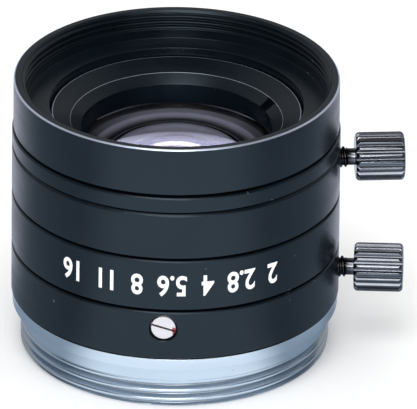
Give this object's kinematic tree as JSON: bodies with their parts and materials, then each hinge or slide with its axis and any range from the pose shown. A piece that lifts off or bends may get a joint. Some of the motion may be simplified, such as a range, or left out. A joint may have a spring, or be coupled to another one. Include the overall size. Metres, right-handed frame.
{
  "type": "c-mount machine vision lens",
  "caption": "Small fixed-focal machine vision lens with a C-mount thread, turning focus and iris rings, thumb screws that lock them, and a bladed iris inside.",
  "frame": {"origin": "on the lens axis, in the plane of the rear rim of the camera thread", "axes": "+Z along the lens axis towards the front glass, +X towards the thumb screws, -Y towards the dial numbers"},
  "size_m": [0.0324, 0.027, 0.0239],
  "materials": {
    "black_anodised": "satin black anodised",
    "matte_black": "dull black anodised",
    "silver_mount": "turned and plated, bright satin",
    "black_nickel": "dark chrome, knurled",
    "steel": "bright steel",
    "blade_steel": "blackened thin steel",
    "coated_glass": "polished optical glass with a faint violet coating"
  },
  "bodies": {
    "mount": {"c_mount_ring": "silver_mount", "main_barrel": "matte_black", "scale_band": "black_anodised", "guide_screw": "steel"},
    "focus": {"focus_ring": "black_anodised", "helicoid_ring": "black_anodised"},
    "focus_lock": {"focus_lock_screw": "black_nickel"},
    "iris": {"iris_ring": "black_anodised", "iris_drive_screw": "steel"},
    "iris_lock": {"iris_lock_screw": "black_nickel"},
    "lens": {"front_barrel": "black_anodised", "lens_tube": "matte_black", "front_retaining_ring": "black_anodised", "front_lens": "coated_glass", "inner_retaining_ring": "matte_black", "second_lens": "coated_glass", "iris_base_plate": "matte_black", "rear_cell": "matte_black", "third_lens": "coated_glass", "fourth_lens": "coated_glass", "rear_spacer": "matte_black", "fifth_lens": "coated_glass", "rear_retaining_ring": "matte_black"},
    "cam": {"iris_cam_ring": "blade_steel"},
    "blade_1": {"iris_blade_1": "blade_steel"},
    "blade_2": {"iris_blade_2": "blade_steel"},
    "blade_3": {"iris_blade_3": "blade_steel"},
    "blade_4": {"iris_blade_4": "blade_steel"},
    "blade_5": {"iris_blade_5": "blade_steel"},
    "blade_6": {"iris_blade_6": "blade_steel"}
  },
  "joints": [
    {"name": "focus_turn", "type": "hinge", "parent": "mount", "child": "focus", "pos_m": [0, 0, 0.0165], "axis": [0, 0, 1], "range_deg": [0, 270]},
    {"name": "lens_slide", "type": "slide", "parent": "mount", "child": "lens", "axis": [0, 0, 1], "range_m": [0, 0.0016]},
    {"name": "iris_turn", "type": "hinge", "parent": "mount", "child": "iris", "pos_m": [0, 0, 0.007], "axis": [0, 0, 1], "range_deg": [0, 45]},
    {"name": "focus_lock_turn", "type": "hinge", "parent": "focus", "child": "focus_lock", "pos_m": [0.01471, 0.00103, 0.0163], "axis": [0.9976, 0.0698, 0], "range_deg": [0, 270]},
    {"name": "iris_lock_turn", "type": "hinge", "parent": "iris", "child": "iris_lock", "pos_m": [0.01474, -0.00049, 0.00694], "axis": [0.9995, -0.0332, 0], "range_deg": [0, 270]},
    {"name": "cam_turn", "type": "hinge", "parent": "lens", "child": "cam", "pos_m": [0, 0, 0.007], "axis": [0, 0, 1], "range_deg": [0, 45.1]},
    {"name": "blade_1_swing", "type": "hinge", "parent": "lens", "child": "blade_1", "pos_m": [0.0059, 0, 0.0083], "axis": [0, 0, 1], "range_deg": [0, 28.3]},
    {"name": "blade_2_swing", "type": "hinge", "parent": "lens", "child": "blade_2", "pos_m": [0.00295, 0.00511, 0.0083], "axis": [0, 0, 1], "range_deg": [0, 28.3]},
    {"name": "blade_3_swing", "type": "hinge", "parent": "lens", "child": "blade_3", "pos_m": [-0.00295, 0.00511, 0.0083], "axis": [0, 0, 1], "range_deg": [0, 28.3]},
    {"name": "blade_4_swing", "type": "hinge", "parent": "lens", "child": "blade_4", "pos_m": [-0.0059, 0, 0.0083], "axis": [0, 0, 1], "range_deg": [0, 28.3]},
    {"name": "blade_5_swing", "type": "hinge", "parent": "lens", "child": "blade_5", "pos_m": [-0.00295, -0.00511, 0.0083], "axis": [0, 0, 1], "range_deg": [0, 28.3]},
    {"name": "blade_6_swing", "type": "hinge", "parent": "lens", "child": "blade_6", "pos_m": [0.00295, -0.00511, 0.0083], "axis": [0, 0, 1], "range_deg": [0, 28.3]}
  ],
  "couplings": [
    {"joint": "lens_slide", "follows": "focus_turn", "m_per_rad": 0.000339},
    {"joint": "cam_turn", "follows": "iris_turn", "ratio": 1},
    {"joint": "blade_1_swing", "follows": "iris_turn", "ratio": 0.62786},
    {"joint": "blade_2_swing", "follows": "iris_turn", "ratio": 0.62786},
    {"joint": "blade_3_swing", "follows": "iris_turn", "ratio": 0.62786},
    {"joint": "blade_4_swing", "follows": "iris_turn", "ratio": 0.62786},
    {"joint": "blade_5_swing", "follows": "iris_turn", "ratio": 0.62786},
    {"joint": "blade_6_swing", "follows": "iris_turn", "ratio": 0.62786}
  ]
}
